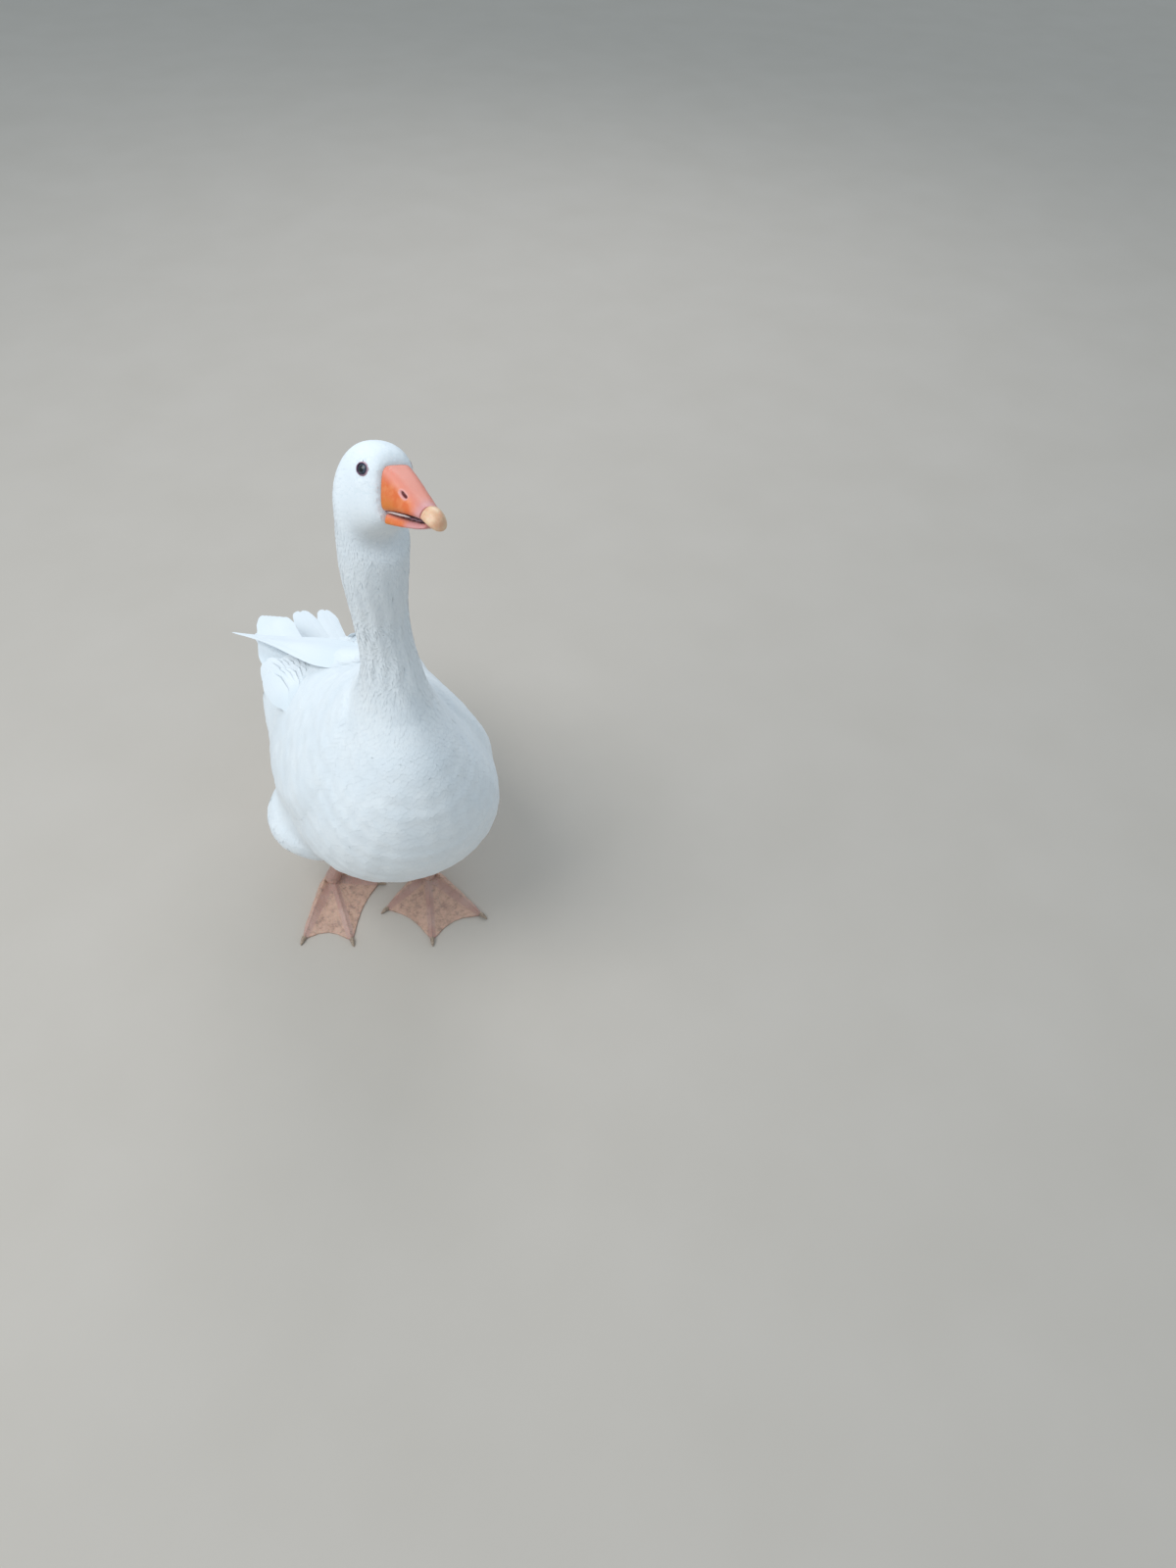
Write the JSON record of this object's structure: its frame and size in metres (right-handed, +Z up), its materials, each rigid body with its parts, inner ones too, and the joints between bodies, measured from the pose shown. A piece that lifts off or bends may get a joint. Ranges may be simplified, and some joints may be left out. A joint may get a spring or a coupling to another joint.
{
  "type": "domestic goose",
  "caption": "Still, life-size model of a white domestic goose standing alert on dusty pink webbed feet, neck up, head tilted, wings folded, one wing tip across the rump",
  "frame": {"origin": "on the floor, under the middle of the bird's box", "axes": "+Z up; the goose faces -Y; its left side is at +X"},
  "size_m": [0.2845, 0.4943, 0.7069],
  "materials": {
    "plumage": "soft matte feathers",
    "bill": "satin skin over horn",
    "nail": "satin horn",
    "eye": "wet gloss",
    "leg": "scaled matte skin",
    "claw": "satin horn"
  },
  "bodies": {
    "root": {"head": "plumage", "neck_upper": "plumage", "neck_lower": "plumage", "trunk": "plumage", "wing_left": "plumage", "wing_right": "plumage", "primaries_left": "plumage", "primaries_right": "plumage", "tail": "plumage", "thigh_left": "plumage", "thigh_right": "plumage", "bill_upper": "bill", "bill_lower": "bill", "bill_nail": "nail", "eye_left": "eye", "eye_right": "eye", "shank_left": "leg", "shank_right": "leg", "foot_left": "leg", "foot_right": "leg", "hallux_left": "leg", "hallux_right": "leg", "claw_inner_left": "claw", "claw_middle_left": "claw", "claw_outer_left": "claw", "claw_hind_left": "claw", "claw_inner_right": "claw", "claw_middle_right": "claw", "claw_outer_right": "claw", "claw_hind_right": "claw"}
  },
  "joints": []
}
